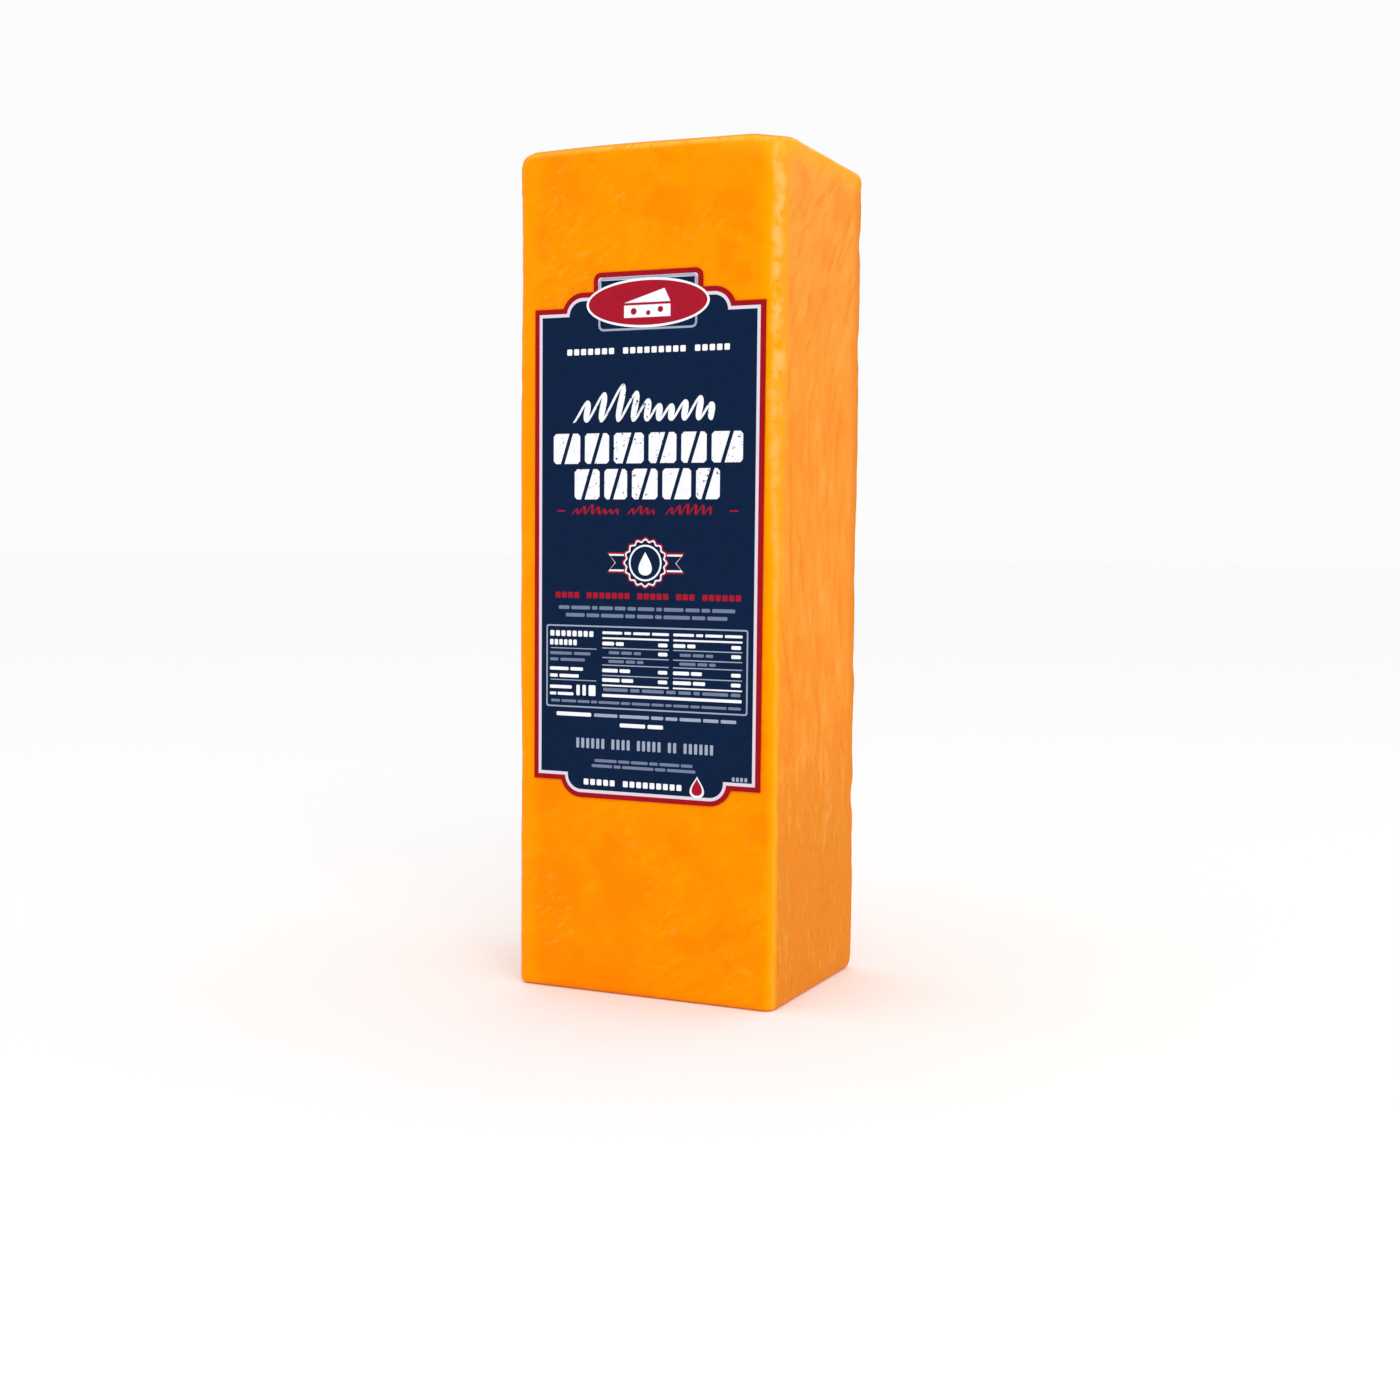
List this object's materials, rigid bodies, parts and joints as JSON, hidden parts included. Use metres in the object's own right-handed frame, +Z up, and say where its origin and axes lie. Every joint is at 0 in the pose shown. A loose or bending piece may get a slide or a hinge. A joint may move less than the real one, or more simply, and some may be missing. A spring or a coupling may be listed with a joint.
{
  "type": "cheddar block",
  "caption": "Tall rectangular loaf of orange cheddar standing on end, with soft rounded edges, furrowed cut sides and a stepped printed label on the broad front face.",
  "frame": {"origin": "middle of the base on which the loaf stands", "axes": "+Z up along the loaf, -Y out of the labelled broad front face, +X out of the furrowed side that the picture shows"},
  "size_m": [0.0971, 0.0779, 0.2833],
  "materials": {
    "cheddar": "orange pressed cheddar, slightly waxy, smooth on the pressed faces and finely furrowed on the cut sides",
    "label_print": "coated paper with a dark blue field, a red and white border and plain white and red shapes for its print"
  },
  "bodies": {
    "root": {"cheese_block": "cheddar", "label": "label_print"}
  },
  "joints": []
}
